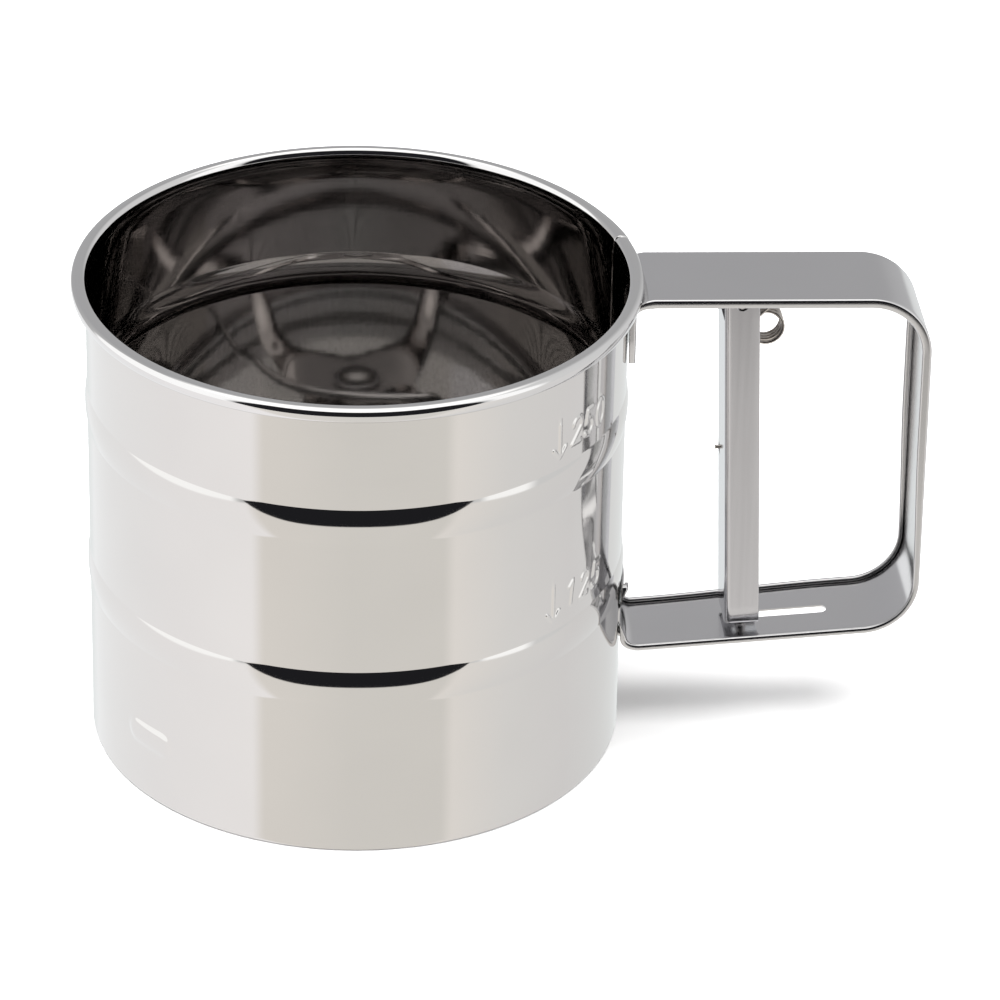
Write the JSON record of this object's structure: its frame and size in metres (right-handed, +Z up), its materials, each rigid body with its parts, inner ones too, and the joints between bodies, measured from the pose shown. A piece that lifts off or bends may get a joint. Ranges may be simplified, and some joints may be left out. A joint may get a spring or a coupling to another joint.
{
  "type": "flour sifter",
  "caption": "Beaded sheet-steel sifting cup with a rolled rim and a strap handle; squeezing the trigger lever pulls a rod that swings an agitator over the sieve.",
  "frame": {"origin": "centre of the whole object's footprint, on the surface that it stands on", "axes": "+X from the cup towards the handle's grip, +Z up along the cup's axis"},
  "size_m": [0.1588, 0.1054, 0.094],
  "materials": {
    "polished_steel": "mirror-polished stainless sheet with fine rolling lines",
    "handle_steel": "bright rolled stainless strip, polished edges",
    "wire_steel": "bright drawn stainless wire",
    "spring_steel": "drawn spring wire, slightly brown",
    "blade_steel": "stamped stainless sheet, polished",
    "mesh_steel": "plain-woven stainless wire cloth",
    "ring_steel": "satin stainless sheet",
    "rivet_steel": "turned steel, domed head"
  },
  "bodies": {
    "sifter": {"cup_wall": "polished_steel", "rim_wire": "wire_steel", "handle_strap": "handle_steel", "hinge_bracket": "handle_steel", "pivot_pin": "wire_steel", "cross_bar": "blade_steel", "centre_rivet": "rivet_steel", "sieve_mesh": "mesh_steel", "screen_ring_lower": "ring_steel", "screen_ring_upper": "ring_steel", "mesh_washer_lower": "ring_steel", "mesh_washer_upper": "ring_steel", "spacer_bush": "ring_steel", "head_washer": "ring_steel"},
    "trigger": {"trigger_lever": "handle_steel", "return_spring": "spring_steel"},
    "rod": {"push_rod": "wire_steel", "rod_clip": "spring_steel"},
    "stirrer": {"agitator": "blade_steel"}
  },
  "joints": [
    {"name": "trigger_pivot", "type": "hinge", "parent": "sifter", "child": "trigger", "pos_m": [0.044, 0, 0.0879], "axis": [0, -1, 0], "range_deg": [0, 12.8], "stiffness_Nm_per_rad": 1, "springref_deg": -8.59, "deforming": ["return_spring"]},
    {"name": "rod_slide", "type": "slide", "parent": "sifter", "child": "rod", "axis": [1, 0, 0], "range_m": [0, 0.0151]},
    {"name": "agitator_swing", "type": "hinge", "parent": "sifter", "child": "stirrer", "pos_m": [-0.0267, 0, 0.0163], "axis": [0, 0, 1], "range_deg": [-55, 0]}
  ],
  "couplings": [
    {"joint": "rod_slide", "follows": "trigger_pivot", "m_per_rad": 0.067519},
    {"joint": "agitator_swing", "follows": "trigger_pivot", "ratio": -4.2941}
  ]
}
